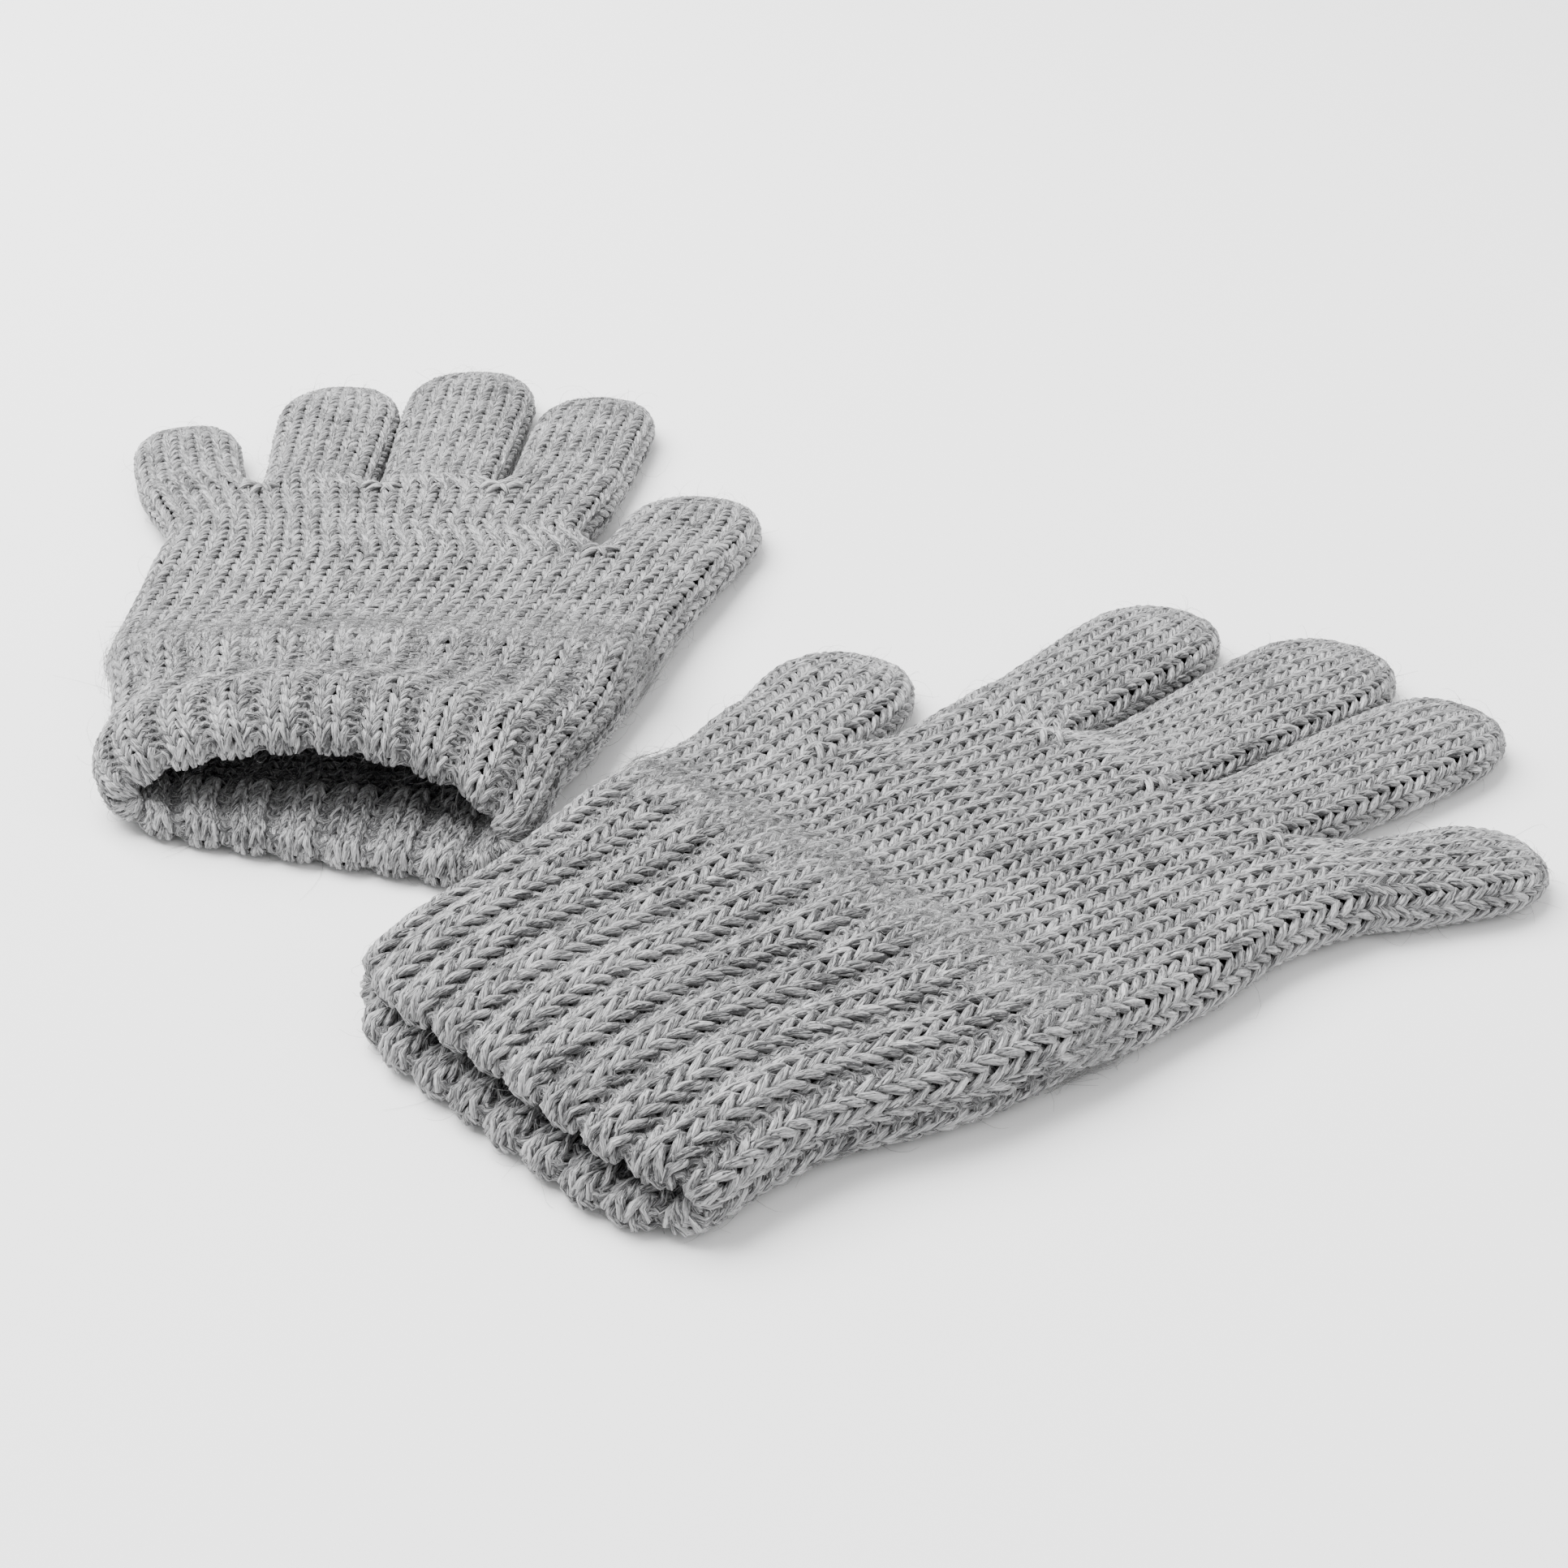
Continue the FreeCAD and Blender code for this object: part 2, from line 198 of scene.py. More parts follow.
def body_surface(glove):
    """Cuff and five-finger palm: point at wale w and distance s from the cuff's edge.

    Past the lip's quarter circle the surface is the section at y = s, set back by the lip's own
    line. Negative s goes round the lip and on inside, 2 x LIP further in. The worn band's top
    stands up as exp(-distance squared)."""
    g = GLOVES[glove]
    spots = np.linspace(-1.0, 1.0, 7)

    def surface(w, s):
        outer = s > LIP_ARC
        inner = s < -LIP_ARC
        angle = np.clip(s / LIP, -0.5 * math.pi, 0.5 * math.pi)
        y = np.where(outer | inner, LIP + np.abs(s) - LIP_ARC, LIP * (1.0 - np.cos(angle)))
        x, z, nx, nz, across, up = tube_section(w / CUFF_WALES, y, g["body"])
        drop = LIP * (np.sin(angle) - 1.0) + 0.7 * up * np.exp(-((y - g["worn"][0]) / 4.0) ** 2)
        a = np.clip(across, -1.0, 1.0)
        set_back = through(a, spots, g["rim_floor"]) * (1.0 - up) + through(a, spots, g["rim_top"]) * up
        y = y + set_back * np.clip(1.0 - y / 45.0, 0.0, 1.0) ** 2
        return np.stack([x + drop * nx, y, z + drop * nz], -1)

    return surface


def hand_surface(glove):
    """Four-finger hand before it is joined to the palm: its section at y for wale w."""
    g = GLOVES[glove]

    def surface(w, s):
        x, z, _nx, _nz, _a, _u = tube_section(w / HAND_WALES, s, g["hand"])
        return np.stack([x, s + 0.0 * x, z], -1)

    return surface


def finger_surface(glove, finger):
    """Finger before it is joined on: a stadium carried along the finger's line, closed by a cap.

    Beyond the straight part s turns into an angle: length grows as its sine, width and height
    shrink as powers of its cosine. The top falls off to both sides as distance squared."""
    x0, y0, turn, length, root, tip, bow = GLOVES[glove]["fingers"][finger]
    n = TAKE_UP[finger][0]
    cap = 0.7 * tip
    straight = length - cap
    t = math.radians(turn)

    def surface(w, s):
        angle = np.clip((s - straight) / cap, 0.0, CAP_END)
        along = np.where(s > straight, straight + (cap - EDGE) * np.sin(angle), s)
        wide = root + (tip - root) * ease(along / (0.7 * length))
        high = 9.6 - 1.4 * ease(along / 18.0) - 0.4 * ease(along / length)
        narrow = np.cos(angle) ** 0.96
        half = 0.5 * wide * narrow
        high = (high - 2.0 * EDGE) * np.cos(angle) ** 0.75 + 2.0 * EDGE
        half = np.maximum(half, 0.5 * high + 0.05)
        x, z, _nx, _nz = stadium(w / n, -half + EDGE, half - EDGE, high - 2.0 * EDGE)
        z = EDGE + z * (1.1 - 0.3 * ease(along / 12.0) * (x / half) ** 2)
        x = x + bow * np.sin(math.pi * np.clip(along / length, 0.0, 1.0))
        return np.stack([x0 + x * math.cos(t) - along * math.sin(t),
                         y0 + x * math.sin(t) + along * math.cos(t), z], -1)

    return surface, straight, cap


def grown(own, wales, start, edge, edge_wales, shift, low, high, fade):
    """Tube that grows out of a parent tube's edge: its own surface, moved at its start on to the
    wales that it takes up there, and easing back to its own place over the fade length.

    Wales low to high of its upper half, and their mirror images below, are taken up. The wales
    between them at a fork are new, and share out the difference between top and bottom."""
    def move(w):
        w = np.mod(w, wales)
        top = w <= 0.5 * wales
        upper = np.where(top, w, wales - w)
        taken = np.clip(upper, low, high)
        below = np.where(top, 0.0, 1.0)
        far = upper > high
        below = np.where(far, (w - high) / max(wales - 2.0 * high, 1e-6), below)
        near = upper < low
        share = 0.5 * (1.0 - upper / max(low, 1e-6))
        below = np.where(near, np.where(top, share, 1.0 - share), below)[..., None]
        on_top = edge(taken + shift) - own(taken, start)
        on_floor = edge(edge_wales - taken - shift) - own(wales - taken, start)
        return on_top * (1.0 - below) + on_floor * below

    def surface(w, s):
        return own(w, s) + move(w) * (1.0 - ease((s - start) / fade))[..., None]

    return surface


def glove_surfaces(glove):
    """Every tube of one glove as a function of wale and distance."""
    g = GLOVES[glove]
    body = body_surface(glove)

    def palm_edge(w):
        return body(w, np.full(np.shape(w), g["palm_end"] - LIP + LIP_ARC))

    hand = grown(hand_surface(glove), HAND_WALES, g["palm_end"],
                 palm_edge, CUFF_WALES, 0.0, 0.0, 23.0, 15.0)

    def hand_edge(w):
        return hand(w, np.full(np.shape(w), g["hand_end"]))

    made = {"body": body, "hand": hand}
    for finger in FINGERS:
        wales, first, own_first, low, high = TAKE_UP[finger]
        own, straight, cap = finger_surface(glove, finger)
        edge, edge_wales = (palm_edge, CUFF_WALES) if finger == "thumb" else (hand_edge, HAND_WALES)
        made[finger] = grown(own, wales, 0.0, edge, edge_wales, first - own_first, low, high, 9.0)
        made[finger + "_sizes"] = (straight, cap)
    return made


def placed(glove, points):
    """Glove's own frame in mm to the shared frame in metres: mirror, turn about Z, then move."""
    g = GLOVES[glove]
    t = math.radians(g["turn"])
    x, y = points[..., 0] * g["side"], points[..., 1]
    return np.stack([x * math.cos(t) - y * math.sin(t) + g["place"][0],
                     x * math.sin(t) + y * math.cos(t) + g["place"][1], points[..., 2]], -1) * MM


# ---------------------------------------------------------------- yarn

class Yarn:
    """Mesh arrays of one piece, gathered strand by strand."""

    def __init__(self, glove, seed):
        self.glove = glove
        self.random = np.random.default_rng(seed)
        self.points, self.quads, self.ends = [], [], []
        self.strand, self.tone = [], []
        self.count = 0
        self.skin = []

    def add(self, ring_points, along, tone, turn, closed):
        """Tube faces over an array of rings (strand, station, side, xyz).

        The attribute strand holds the place on the yarn: a unit circle round it that turns with
        the twist, and the distance along it."""
        n, m, sides = ring_points.shape[:3]
        ids = self.count + np.arange(n * m * sides).reshape(n, m, sides)
        nxt = np.roll(ids, -1, 1)
        if not closed:
            ids, nxt = ids[:, :-1], nxt[:, :-1]
        self.quads.append(np.stack([ids, nxt, np.roll(nxt, -1, 2), np.roll(ids, -1, 2)], -1).reshape(-1, 4))
        if not closed:
            full = self.count + np.arange(n * m * sides).reshape(n, m, sides)
            for i in range(1, sides - 1):
                self.ends.append(np.stack([full[:, 0, 0], full[:, 0, i], full[:, 0, i + 1]], -1))
                self.ends.append(np.stack([full[:, -1, 0], full[:, -1, i + 1], full[:, -1, i]], -1))
        self.points.append(ring_points.reshape(-1, 3))
        angle = TAU * np.arange(sides) / sides + turn * along[..., None]
        self.strand.append(np.stack([np.cos(angle), np.sin(angle), along[..., None] + 0.0 * angle],
                                    -1).reshape(-1, 3))
        self.tone.append(np.broadcast_to(tone[..., None], (n, m, sides)).reshape(-1))
        self.count += n * m * sides

    def tubes(self, centre, normal, wide, thick, tone, closed=True):
        """Oval tubes along centre lines (strand, station, xyz) in the glove frame.

        Each ring is the centre plus wide x cos across the surface plus thick x sin along its
        normal, square to the line's own direction. Below HARD_FLOOR heights are pressed to a quarter."""
        if closed:
            run = np.roll(centre, -1, 1) - np.roll(centre, 1, 1)
            step = np.roll(centre, -1, 1) - centre
        else:
            run = np.gradient(centre, axis=1)
            step = np.diff(centre, axis=1, append=centre[:, -1:])
        run /= np.linalg.norm(run, axis=-1, keepdims=True) + 1e-12
        across = np.cross(run, normal)
        across /= np.linalg.norm(across, axis=-1, keepdims=True) + 1e-12
        out = np.cross(across, run)
        angle = TAU * np.arange(YARN_SIDES) / YARN_SIDES
        ring = (centre[:, :, None] + across[:, :, None] * (wide[..., None] * np.cos(angle))[..., None]
                + out[:, :, None] * (thick[..., None] * np.sin(angle))[..., None])
        low = ring[..., 2] < HARD_FLOOR
        ring[..., 2] = np.where(low, HARD_FLOOR + 0.25 * (ring[..., 2] - HARD_FLOOR), ring[..., 2])
        ring[..., 2] = np.maximum(ring[..., 2], 0.0)
        length = np.cumsum(np.linalg.norm(step, axis=-1), axis=1)
        length = np.concatenate([np.zeros_like(length[:, :1]), length[:, :-1]], 1)
        length += self.random.uniform(0.0, 400.0, (len(centre), 1))
        self.add(ring, length, tone, TWIST, closed)
        self.skin.append((centre.reshape(-1, 3), normal.reshape(-1, 3)))

    def fuzz(self, density, worn=None):
        """Loose fibres: thin three-sided tubes that leave the yarn at random and curl away.

        density is fibres to a stitch. In a worn band their number falls off from its middle as
        exp(-distance squared), and they lie flat, across the wales."""
        start, lift, thick, tone = (0.55, 0.55, 0.028, 0.8) if worn is None else (0.95, 0.08, 0.036, 1.2)
        centre = np.concatenate([c for c, _n in self.skin])
        normal = np.concatenate([n for _c, n in self.skin])
        share = np.ones(len(centre)) if worn is None else np.exp(-((centre[:, 1] - worn[0]) / worn[1]) ** 2)
        amount = int(density * share.sum() / LOOP_STEPS)
        if amount < 1:
            return
        pick = self.random.choice(len(centre), amount, p=share / share.sum())
        base, out = centre[pick], normal[pick]
        side = self.random.normal(size=(amount, 3))
        if worn is not None:
            side[:, :2] += np.array([1.1, -0.3]) * self.random.choice((-1.0, 1.0), (amount, 1))
        side -= out * np.sum(side * out, -1, keepdims=True)
        side /= np.linalg.norm(side, axis=-1, keepdims=True) + 1e-9
        curl = np.cross(out, side) * self.random.uniform(-0.8, 0.8, (amount, 1))
        reach = self.random.gamma(3.0, 2.6 / 3.0, (amount, 1))
        t = np.linspace(0.0, 1.0, 5)[None, :, None]
        lifts = self.random.uniform(0.15, 1.0, (amount, 1)) * lift
        path = (base[:, None] + out[:, None] * start
                + side[:, None] * (reach[:, None] * t)
                + out[:, None] * (reach * lifts)[:, None] * np.sin(2.4 * t)
                + curl[:, None] * (reach[:, None] * t * t))
        path[..., 2] = np.maximum(path[..., 2], 0.15)
        run = np.gradient(path, axis=1)
        run /= np.linalg.norm(run, axis=-1, keepdims=True) + 1e-12
        pole = out[:, None] + 0.01
        across = np.cross(run, pole)
        across /= np.linalg.norm(across, axis=-1, keepdims=True) + 1e-12
        up = np.cross(across, run)
        angle = TAU * np.arange(3) / 3
        thin = thick * (1.0 - 0.6 * t[..., 0])[..., None]
        ring = (path[:, :, None] + across[:, :, None] * (thin * np.cos(angle))[..., None]
                + up[:, :, None] * (thin * np.sin(angle))[..., None])
        along = np.broadcast_to(t[..., 0] * 2.0, path.shape[:2]) + self.random.uniform(0, 400, (amount, 1))
        self.add(ring, along, np.full(path.shape[:2], tone), 0.0, False)

    def mesh(self, name, material):
        """Puts the arrays into a mesh object at the origin."""
        points = placed(self.glove, np.concatenate(self.points))
        quads = np.concatenate(self.quads)
        ends = np.concatenate(self.ends) if self.ends else np.zeros((0, 3), int)
        me = bpy.data.meshes.new(name)
        me.vertices.add(len(points))
        me.vertices.foreach_set("co", points.astype(np.float32).ravel())
        me.loops.add(quads.size + ends.size)
        me.loops.foreach_set("vertex_index", np.concatenate([quads.ravel(), ends.ravel()]).astype(np.int32))
        me.polygons.add(len(quads) + len(ends))
        starts = np.concatenate([np.arange(len(quads)) * 4, quads.size + np.arange(len(ends)) * 3])
        me.polygons.foreach_set("loop_start", starts.astype(np.int32))
        me.update(calc_edges=True)
        me.validate()
        me.shade_smooth()
        if GLOVES[self.glove]["side"] < 0:
            me.flip_normals()
        for key, kind, prop, data in (("strand", "FLOAT_VECTOR", "vector", np.concatenate(self.strand)),
                                      ("tone", "FLOAT", "value", np.concatenate(self.tone))):
            me.attributes.new(key, kind, "POINT").data.foreach_set(prop, data.astype(np.float32).ravel())
        ob = bpy.data.objects.new(name, me)
        bpy.context.scene.collection.objects.link(ob)
        me.materials.append(material)
        return ob


def facing(surface, w, s):
    """Outward unit normal: the cross product of the steps along a wale and round a course."""
    a = surface(w + 0.05, s) - surface(w - 0.05, s)
    b = surface(w, s + 0.1) - surface(w, s - 0.1)
    n = np.cross(a, b)
    return n / (np.linalg.norm(n, axis=-1, keepdims=True) + 1e-12)


def rib_spread(w):
    """Wale to its place in a two-and-one rib: two wide plain wales, then a narrow one between."""
    group = np.floor(w / 3.0)
    return 3.0 * group + np.interp(w - 3.0 * group, [0.0, 1.0, 2.0, 3.0], [0.0, 1.17, 2.34, 3.0])


def loops(yarn, surface, wales, courses, pitch, radius, rib=None, worn=None):
    """Courses of stitches, t going once round for each.

    One loop is x = t / 2 pi + lean x sin 2t across its wale, drawn in a little to the wale's
    middle; y = -pitch x cos t along it; and z = LOOP_DEPTH x (1 - 2.8 x (cos squared t) to the
    power 1.7) out of the fabric. In a rib the third wale of each three is purl, with z turned inside
    out, and the two plain ones stand up as a power of a cosine. In a worn band z is flatter."""
    random = yarn.random
    rows = len(courses)
    t = np.arange(LOOP_STEPS) * TAU / LOOP_STEPS
    stitch = np.arange(wales)[None, :, None]
    count = wales * LOOP_STEPS
    t_all = np.broadcast_to(t, (rows, wales, LOOP_STEPS))

    def wander(size):
        """A value for each stitch, eased from one stitch to the next along the yarn."""
        v = random.normal(0.0, size, (rows, wales))
        at = stitch + t_all / TAU - 0.5
        i = np.floor(at).astype(int)
        f = at - i
        r = np.arange(rows)[:, None, None]
        return v[r, i % wales] * (1 - f) + v[r, (i + 1) % wales] * f

    lean = GLOVES[yarn.glove]["lean"] * (1.0 + wander(0.10))
    x = t_all / TAU + lean * np.sin(2.0 * t_all)
    x = x + PULL_IN * np.sin(TAU * x)
    y = -pitch * np.cos(t_all) * (1.0 + wander(0.05))
    z = LOOP_DEPTH * (1.0 - 2.8 * (0.5 + 0.5 * np.cos(2.0 * t_all)) ** 1.7)
    w = stitch + x + wander(0.035)
    s = np.asarray(courses)[:, None, None] + y + wander(0.12)
    flat = 0.0 if worn is None else np.exp(-((s - worn[0]) / worn[1]) ** 2)
    z = z * (1.0 - 0.7 * flat)
    if rib is not None:
        strength = rib(s)
        purl = np.broadcast_to(stitch % 3 == 2, w.shape)
        z = np.where(purl, z * (1.0 - 1.6 * np.minimum(2.4 * strength, 1.0)), z)
        phase = np.mod(w, 3.0)
        ridge = 0.5 + 0.5 * np.cos(TAU * (phase - 1.0) / 3.0)
        z = z + strength * (1.9 * ridge ** 0.7 - 1.55)
        w = w + (rib_spread(w) - w) * np.minimum(strength, 1.0)
    z = z + wander(0.07)
    w, s, z = (a.reshape(rows, count) for a in (w, s, z))
    normal = facing(surface, w, s)
    centre = surface(w, s) + normal * z[..., None]
    front = (0.5 - 0.5 * np.cos(2.0 * t_all)).reshape(rows, count)
    wide = radius * (0.92 + 0.16 * front) * (1.0 + wander(0.04).reshape(rows, count))
    # painted shade: darker where the yarn dives behind its neighbours; paler where it is worn
    tone = (0.5 + wander(0.08).reshape(rows, count) + random.normal(0.0, 0.05, (rows, 1))
            - 0.55 * (1.0 - front)
            + 0.25 * np.broadcast_to(flat, t_all.shape).reshape(rows, count))
    yarn.tubes(centre, normal, wide, 0.94 * wide, tone)


# A linking stitch's two ends, each a wale and a distance from the fork.
LINKS = np.array([
    (-0.6, -2.2, 0.5, 1.2), (-0.1, 1.4, 0.7, -2.0), (-0.9, 0.2, -0.1, 2.2), (0.2, -1.2, 1.0, 1.8)])


def link_stitches(yarn, surface, ring, wale, y, radius):
    """Four short arcs of yarn over the fork, and four below: each runs straight between two points
    on the surface, lifted and thickened as powers of the sine of the way along."""
    t = np.linspace(0.0, 1.0, 11)[None, :]
    for under in (False, True):
        a = LINKS + yarn.random.normal(0.0, 0.12, LINKS.shape)
        w = wale + a[:, :1] * (1 - t) + a[:, 2:3] * t
        s = y + a[:, 1:2] * (1 - t) + a[:, 3:4] * t
        if under:
            w = ring - w
        normal = facing(surface, w, s)
        centre = surface(w, s) + normal * (0.5 + 1.1 * np.sin(math.pi * t) ** 0.7)[..., None]
        wide = radius * (0.55 + 0.45 * np.sin(math.pi * t) ** 0.5) + 0.0 * w
        yarn.tubes(centre, normal, wide, 0.85 * wide, 0.75 + 0.0 * w, closed=False)


# ---------------------------------------------------------------- materials

def colour(code):
    """sRGB hex to linear RGBA."""
    c = np.array([int(code[i:i + 2], 16) for i in (1, 3, 5)]) / 255.0
    c = np.where(c <= 0.04045, c / 12.92, ((c + 0.055) / 1.055) ** 2.4)
    return (*c, 1.0)


def node(tree, kind, links=(), **settings):
    """Adds a node, sets its properties and sockets, and links its inputs."""
    made = tree.nodes.new(kind)
    for key, value in settings.items():
        if hasattr(made, key):
            setattr(made, key, value)
        else:
            made.inputs[key.replace("_", " ")].default_value = value
    for socket, source in links:
        tree.links.new(source, made.inputs[socket])
    return made


def yarn_material(name, light, dark, strand_depth):
    """Mottled grey wool blend, spun loosely: fine pale and dark fibres run along the yarn, so each
    leg of a stitch is streaked along its length, half matt with a soft sheen at its edges."""
    mat = bpy.data.materials.get(name)
    if mat:
        return mat
    mat = bpy.data.materials.new(name)
    mat.use_nodes = True
    tree = mat.node_tree
    tree.nodes.clear()
    strand = node(tree, "ShaderNodeAttribute", attribute_name="strand").outputs["Vector"]
    tone = node(tree, "ShaderNodeAttribute", attribute_name="tone").outputs["Fac"]
    # strands about 0.3 mm across and 3 mm long
    long_way = node(tree, "ShaderNodeMapping", [("Vector", strand)])
    long_way.inputs["Scale"].default_value = (1.0, 1.0, 0.14)
    fibre = node(tree, "ShaderNodeTexVoronoi", [("Vector", long_way.outputs[0])], Scale=2.2)
    ply = node(tree, "ShaderNodeTexNoise", [("Vector", long_way.outputs[0])], Scale=4.5, Detail=2.0)
    where = node(tree, "ShaderNodeTexCoord").outputs["Object"]
    patch = node(tree, "ShaderNodeTexNoise", [("Vector", where)], Scale=90.0, Detail=2.0)
    mix = node(tree, "ShaderNodeMath", [(0, fibre.outputs["Color"])], operation="MULTIPLY_ADD")
    mix.inputs[1].default_value = 0.7
    tree.links.new(ply.outputs["Fac"], mix.inputs[2])
    # tone brings in random tone, worn paleness and the painted shade of the yarn's hidden parts
    add = node(tree, "ShaderNodeMath", [(0, tone), (1, patch.outputs["Fac"])], operation="ADD")
    total = node(tree, "ShaderNodeMath", [(0, add.outputs[0])], operation="MULTIPLY_ADD")
    total.inputs[1].default_value = 0.35
    tree.links.new(mix.outputs[0], total.inputs[2])
    ramp = node(tree, "ShaderNodeValToRGB", [("Fac", node(
        tree, "ShaderNodeMapRange", [("Value", total.outputs[0])], From_Min=0.97, From_Max=2.10).outputs[0])])
    stops = ramp.color_ramp.elements
    stops[0].color, stops[1].color = colour(dark), colour(light)
    bump = node(tree, "ShaderNodeBump", [("Height", fibre.outputs["Distance"])], Strength=strand_depth,
                Distance=0.0003)
    bump.invert = True
    shader = node(tree, "ShaderNodeBsdfPrincipled", [("Base Color", ramp.outputs[0]),
                                                     ("Normal", bump.outputs[0])])
    shader.inputs["Roughness"].default_value = 0.42
    shader.inputs["Specular IOR Level"].default_value = 0.6
    shader.inputs["Sheen Weight"].default_value = 0.25
    shader.inputs["Sheen Roughness"].default_value = 0.4
    node(tree, "ShaderNodeOutputMaterial", [("Surface", shader.outputs[0])])
    return mat


def plain_yarn():
    chosen = bpy.context.scene.glove_yarn
    return yarn_material("mottled_grey_wool_blend_plain_knit", chosen.light, chosen.dark, 0.9)


def rib_yarn():
    chosen = bpy.context.scene.glove_yarn
    return yarn_material("mottled_grey_wool_blend_rib_knit", chosen.light, chosen.dark, 1.0)


# ---------------------------------------------------------------- settings

class GloveYarn(bpy.types.PropertyGroup):
    """Yarn thickness and colours."""
    radius: bpy.props.FloatProperty(name="Yarn radius", description="Half the yarn's thickness",
                                    default=0.00063, unit="LENGTH")
    light: bpy.props.StringProperty(name="Light fibre", description="Palest fibre, sRGB hex",
                                    default="#F6F6F7")
    dark: bpy.props.StringProperty(name="Dark fibre", description="Darkest fibre, sRGB hex",
                                   default="#2A2A2C")


class GloveKnit(bpy.types.PropertyGroup):
    """Course spacing and how hairy the yarn is."""
    plain_course: bpy.props.FloatProperty(name="Plain course", description="Height of a plain course",
                                          default=0.00248, unit="LENGTH")
    rib_course: bpy.props.FloatProperty(name="Rib course", description="Height of a cuff course",
                                        default=0.00262, unit="LENGTH")
    fuzz: bpy.props.FloatProperty(name="Fuzz", description="Loose fibres to each stitch", default=0.8,
                                  subtype="FACTOR")


def spaced(start, end, pitch):
    """Course middles from start to end at the nearest even spacing, and that spacing."""
    count = max(1, round((end - start) / pitch))
    step = (end - start) / count
    return start + step * (np.arange(count) + 0.5), step


# ---------------------------------------------------------------- pieces

def finish_piece(yarn, name, material, replaced, body=None, blend=None):
    """Meshes the yarn, hides the parts it stands in for, and parents it to its body; a piece given a blend
    instead has its place baked into its mesh, and the blend's parts and points are not used.
    """
    ob = yarn.mesh(name, material)
    if replaced:
        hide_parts(*replaced)
    if blend:
        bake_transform(ob)
    else:
        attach(ob, body)


def shared_point(glove, x, y):
    """Point at mid height over x, y of the glove's own frame, in the shared frame."""
    return tuple(placed(glove, np.array([x, y, 8.0])))


def rib_strength(glove):
    """Full rib at the mouth, fading into plain knit at the wrist."""
    wrist, full = GLOVES[glove]["wrist"], GLOVES[glove]["rib"]
    return lambda s: full * (1.0 - ease((s - wrist + 10.0) / 11.0)) * (1.0 - 0.25 * ease(s / 40.0))


def lip_strength(glove):
    """Even rib on the lip's inner layer."""
    return lambda s: LIP_RIB * GLOVES[glove]["rib"] + 0.0 * s


def sizes():
    """Yarn radius in mm, and the knit's settings."""
    scene = bpy.context.scene
    return scene.glove_yarn.radius / MM, scene.glove_knit


class GLOVES_OT_cuffs(bpy.types.Operator):
    """Ribbed cuffs, their turned lips and the wrists that join them to the palms"""
    bl_idname = "gloves.cuffs"
    bl_label = "Cuffs"

    def execute(self, context):
        radius, knit = sizes()
        for number, glove in enumerate(GLOVES):
            g = GLOVES[glove]
            surface = body_surface(glove)
            strength = rib_strength(glove)
            wrist = g["wrist"] - LIP + LIP_ARC
            courses, step = spaced(0.0, wrist + RIB_END, knit.rib_course / MM)
            split = courses < wrist - CUFF_END
            yarn = Yarn(glove, 100 + number)
            loops(yarn, surface, CUFF_WALES, courses[split], step, radius, rib=strength, worn=g["worn"])
            yarn.fuzz(knit.fuzz)
            yarn.fuzz(WORN_FUZZ * knit.fuzz, g["worn"])
            finish_piece(yarn, f"{glove}_cuff_rib", rib_yarn(), [f"{glove}_cuff"],
                         body=f"{glove}_cuff")
            yarn = Yarn(glove, 110 + number)
            loops(yarn, surface, CUFF_WALES, courses[~split], step, radius, rib=strength, worn=g["worn"])
            yarn.fuzz(knit.fuzz)
            yarn.fuzz(WORN_FUZZ * knit.fuzz, g["worn"])
            finish_piece(yarn, f"{glove}_wrist_knit", plain_yarn(), [],
                         blend=(f"{glove}_palm", f"{glove}_cuff",
                                shared_point(glove, 0.0, g["wrist"] + 7.5),
                                shared_point(glove, 0.0, g["wrist"] - 6.0)))
            inner, step = spaced(-TURNED_IN, 0.0, knit.rib_course / MM)
            yarn = Yarn(glove, 120 + number)
            loops(yarn, surface, CUFF_WALES, inner, step, radius, rib=lip_strength(glove))
            yarn.fuzz(2.0 * knit.fuzz)
            finish_piece(yarn, f"{glove}_turned_edge", rib_yarn(),
                         [f"{glove}_cuff_edge"], body=f"{glove}_cuff")
        return {"FINISHED"}


class GLOVES_OT_palms(bpy.types.Operator):
    """Plain-knit palms and hands, up to the forks of the fingers"""
    bl_idname = "gloves.palms"
    bl_label = "Palms and hands"

    def execute(self, context):
        radius, knit = sizes()
        for number, glove in enumerate(GLOVES):
            g = GLOVES[glove]
            made = glove_surfaces(glove)
            shift = LIP_ARC - LIP
            courses, step = spaced(g["wrist"] + shift + RIB_END, g["palm_end"] + shift,
                                   knit.plain_course / MM)
            yarn = Yarn(glove, 200 + number)
            loops(yarn, made["body"], CUFF_WALES, courses, step, radius)
            yarn.fuzz(knit.fuzz)
            finish_piece(yarn, f"{glove}_palm_knit", plain_yarn(), [f"{glove}_palm"],
                         body=f"{glove}_palm")
            courses, step = spaced(g["palm_end"], g["hand_end"], knit.plain_course / MM)
            yarn = Yarn(glove, 210 + number)
            loops(yarn, made["hand"], HAND_WALES, courses, step, radius)
            yarn.fuzz(knit.fuzz)
            finish_piece(yarn, f"{glove}_hand_knit", plain_yarn(), [f"{glove}_hand"],
                         body=f"{glove}_palm")
        return {"FINISHED"}


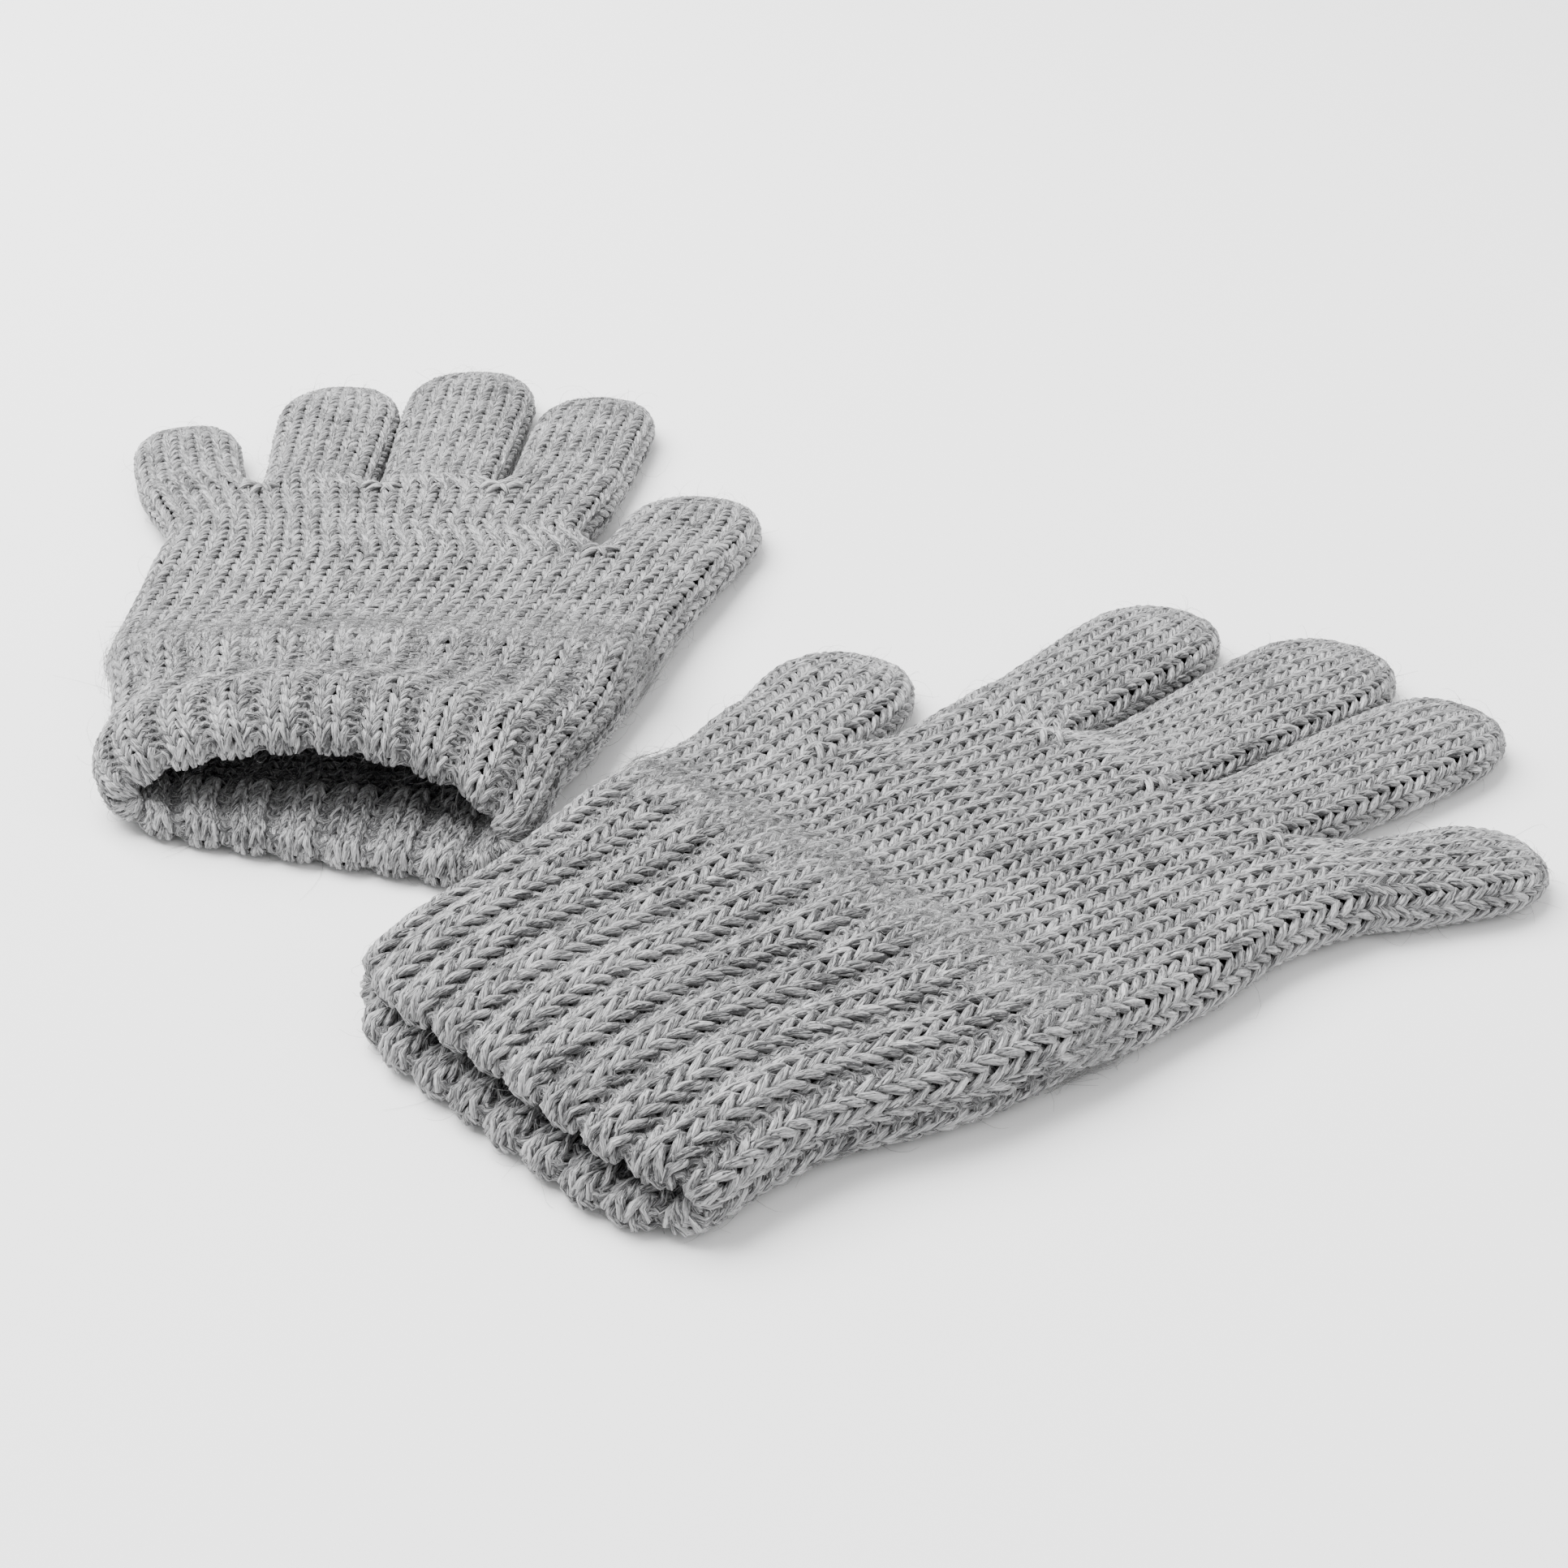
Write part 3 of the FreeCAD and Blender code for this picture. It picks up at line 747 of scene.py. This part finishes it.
class GLOVES_OT_fingers(bpy.types.Operator):
    """Finger and thumb tubes with their gathered tips"""
    bl_idname = "gloves.fingers"
    bl_label = "Fingers and thumbs"

    def execute(self, context):
        radius, knit = sizes()
        for number, glove in enumerate(GLOVES):
            g = GLOVES[glove]
            made = glove_surfaces(glove)
            for place, finger in enumerate(FINGERS):
                x0, y0, turn, length, root, _tip, _bow = g["fingers"][finger]
                wales = TAKE_UP[finger][0]
                straight, cap = made[finger + "_sizes"]
                t = math.radians(turn)

                def on_line(far, x0=x0, y0=y0, t=t):
                    return shared_point(glove, x0 - far * math.sin(t), y0 + far * math.cos(t))

                tilt = 0.5 * root * abs(math.sin(t)) + 0.5
                mid = MID_BEND * length
                courses, step = spaced(0.0, straight + cap * 0.36 * math.pi, knit.plain_course / MM)
                lower = courses < max(mid - 4.0, tilt + 3.0)
                end = float(courses[lower][-1]) + 0.5 * step
                yarn = Yarn(glove, 300 + 20 * number + place)
                loops(yarn, made[finger], wales, courses[lower], step, radius)
                yarn.fuzz(knit.fuzz)
                body = f"{glove}_{finger}"
                finish_piece(yarn, f"{body}_lower_knit", plain_yarn(), [f"{body}_root"],
                             blend=(f"{glove}_palm", f"{body}_root", on_line(min(tilt, end - 3.5)),
                                    on_line(end - 0.5)))
                yarn = Yarn(glove, 400 + 20 * number + place)
                loops(yarn, made[finger], wales, courses[~lower], step, radius)
                cap_rows = straight + cap * np.array([0.40, 0.445]) * math.pi
                loops(yarn, made[finger], wales, cap_rows, 1.6, radius * 0.9)
                yarn.fuzz(knit.fuzz)
                finish_piece(yarn, f"{body}_upper_knit", plain_yarn(),
                             [f"{body}_end", f"{body}_tip"],
                             blend=(f"{body}_root", f"{body}_end", on_line(end),
                                    on_line(max(mid + 4.0, end + 6.0))))
        return {"FINISHED"}


class GLOVES_OT_forks(bpy.types.Operator):
    """Linking stitches across the forks between the fingers"""
    bl_idname = "gloves.forks"
    bl_label = "Fork stitches"

    def execute(self, context):
        radius, knit = sizes()
        for number, glove in enumerate(GLOVES):
            g = GLOVES[glove]
            made = glove_surfaces(glove)
            for place, (web, wale) in enumerate((("ring_little", 6.0), ("middle_ring", 12.0),
                                                 ("index_middle", 18.0), ("thumb", 23.0))):
                surface = made["body"] if web == "thumb" else made["hand"]
                ring = CUFF_WALES if web == "thumb" else HAND_WALES
                y = g["palm_end"] + LIP_ARC - LIP if web == "thumb" else g["hand_end"]
                yarn = Yarn(glove, 500 + 10 * number + place)
                link_stitches(yarn, surface, ring, wale, y, radius)
                yarn.fuzz(knit.fuzz)
                finish_piece(yarn, f"{glove}_fork_{web}", plain_yarn(),
                             [f"{glove}_web_{web}"], body=f"{glove}_palm")
        return {"FINISHED"}


CAMERA_PLACE = (6.65 * MM, -352.4 * MM, 196.2 * MM)
CAMERA_DOWN = 30.92  # degrees below level
CAMERA_LENS = 55.9   # mm, on a sensor 36 mm wide


class GLOVES_OT_stage(bpy.types.Operator):
    """Pale floor, soft studio light and the camera"""
    bl_idname = "gloves.stage"
    bl_label = "Stage"

    def execute(self, context):
        scene = context.scene
        me = bpy.data.meshes.new("floor")
        me.from_pydata([(-4, -4, 0), (4, -4, 0), (4, 4, 0), (-4, 4, 0)], [], [(0, 1, 2, 3)])
        floor = bpy.data.objects.new("floor", me)
        scene.collection.objects.link(floor)
        mat = bpy.data.materials.new("white_paper_floor")
        mat.use_nodes = True
        shader = mat.node_tree.nodes["Principled BSDF"]
        shader.inputs["Base Color"].default_value = colour("#F4F4F4")
        shader.inputs["Roughness"].default_value = 0.9
        me.materials.append(mat)
        world = bpy.data.worlds.new("soft_room")
        world.use_nodes = True
        world.node_tree.nodes["Background"].inputs[0].default_value = (1.0, 1.0, 1.0, 1.0)
        world.node_tree.nodes["Background"].inputs[1].default_value = 0.9
        scene.world = world
        for name, place, size, power in (("key", (-0.55, 0.35, 1.1), 1.2, 62.0),
                                         ("fill", (0.9, -0.5, 0.8), 1.1, 7.0)):
            lamp = bpy.data.lights.new(name, "AREA")
            lamp.size, lamp.energy = size, power
            ob = bpy.data.objects.new(name, lamp)
            ob.location = place
            ob.rotation_euler = (-Vector(place)).to_track_quat("-Z", "Y").to_euler()
            scene.collection.objects.link(ob)
        cam = bpy.data.cameras.new("camera")
        cam.sensor_width = 36.0
        cam.lens = CAMERA_LENS
        ob = bpy.data.objects.new("camera", cam)
        ob.location = CAMERA_PLACE
        ob.rotation_euler = (math.radians(90.0 - CAMERA_DOWN), 0.0, 0.0)
        scene.collection.objects.link(ob)
        scene.camera = ob
        return {"FINISHED"}


class GLOVES_PT_panel(bpy.types.Panel):
    """Lists the pieces and their settings"""
    bl_idname = "GLOVES_PT_panel"
    bl_label = "Knitted gloves"
    bl_space_type = "VIEW_3D"
    bl_region_type = "UI"
    bl_category = "Gloves"

    def draw(self, context):
        for group in (context.scene.glove_yarn, context.scene.glove_knit):
            for name in group.__annotations__:
                self.layout.prop(group, name)
        for step in STEPS:
            self.layout.operator(step.bl_idname)


STEPS = (GLOVES_OT_cuffs, GLOVES_OT_palms, GLOVES_OT_fingers, GLOVES_OT_forks, GLOVES_OT_stage)
CLASSES = (GloveYarn, GloveKnit, *STEPS, GLOVES_PT_panel)


def register():
    for cls in CLASSES:
        bpy.utils.register_class(cls)
    bpy.types.Scene.glove_yarn = bpy.props.PointerProperty(type=GloveYarn)
    bpy.types.Scene.glove_knit = bpy.props.PointerProperty(type=GloveKnit)


def unregister():
    del bpy.types.Scene.glove_yarn, bpy.types.Scene.glove_knit
    for cls in reversed(CLASSES):
        bpy.utils.unregister_class(cls)


def main():
    register()
    for name in ("cuffs", "palms", "fingers", "forks", "stage"):
        getattr(bpy.ops.gloves, name)()


if __name__ == "__main__":
    main()
